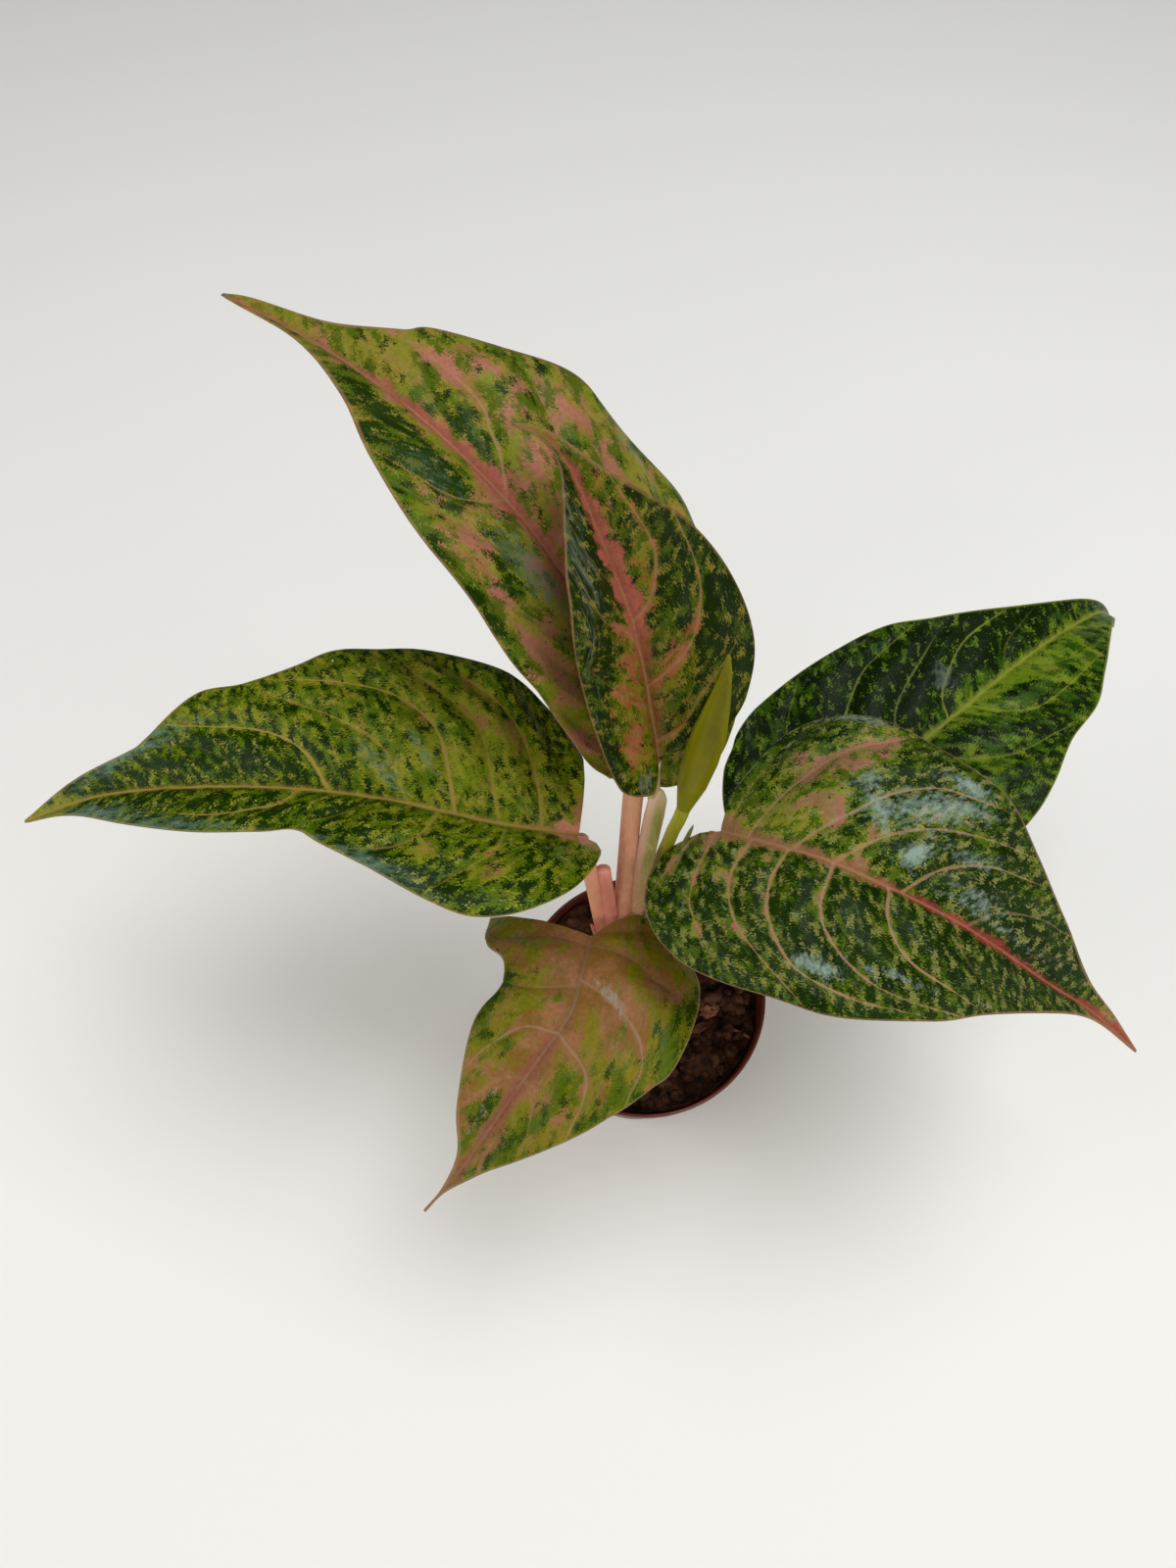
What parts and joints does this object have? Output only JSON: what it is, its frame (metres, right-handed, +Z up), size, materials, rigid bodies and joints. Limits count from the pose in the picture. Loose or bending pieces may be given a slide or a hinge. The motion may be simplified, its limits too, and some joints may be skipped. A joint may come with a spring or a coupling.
{
  "type": "potted prakaiphet chinese evergreen",
  "caption": "Young aroid house plant with broad pointed mottled leaves on upright stalks and a closed flower bud, growing in a round tapered nursery pot of soil.",
  "frame": {"origin": "centre of the pot's underside, on the surface that the pot stands on", "axes": "+Z up along the pot's axis; -Y towards the side that the smallest leaf points to; +X to the right as seen from there"},
  "size_m": [0.3933, 0.2467, 0.2595],
  "materials": {
    "pot_plastic": "thin moulded plastic, dark terracotta brown, soft sheen",
    "soil": "moist peat and bark chips, very rough",
    "stem": "fleshy cane, pink brown",
    "leaf_tall": "waxy leaf, pink band along the midrib, green mottle",
    "leaf_young": "waxy leaf, rose pink round the midrib, dark green mottle",
    "leaf_left": "waxy leaf, fine dark and yellow-green mottle, tan veins",
    "leaf_right": "waxy leaf, dark green and tan mottle, pink veins, glossy",
    "leaf_back": "waxy leaf, dark green and yellow-green mottle",
    "leaf_front": "waxy leaf, pink tan with green patches",
    "leaf_stalk": "fleshy stalk, pink, satin",
    "bud": "closed spathe, olive yellow-green, satin"
  },
  "bodies": {
    "root": {"pot": "pot_plastic", "soil": "soil", "stem": "stem", "blade_tall": "leaf_tall", "blade_young": "leaf_young", "blade_left": "leaf_left", "blade_right": "leaf_right", "blade_back": "leaf_back", "blade_front": "leaf_front", "stalk_tall": "leaf_stalk", "stalk_young": "leaf_stalk", "stalk_left": "leaf_stalk", "stalk_right": "leaf_stalk", "stalk_back": "leaf_stalk", "stalk_front": "leaf_stalk", "flower_bud": "bud", "scale_leaf": "leaf_stalk"}
  },
  "joints": []
}
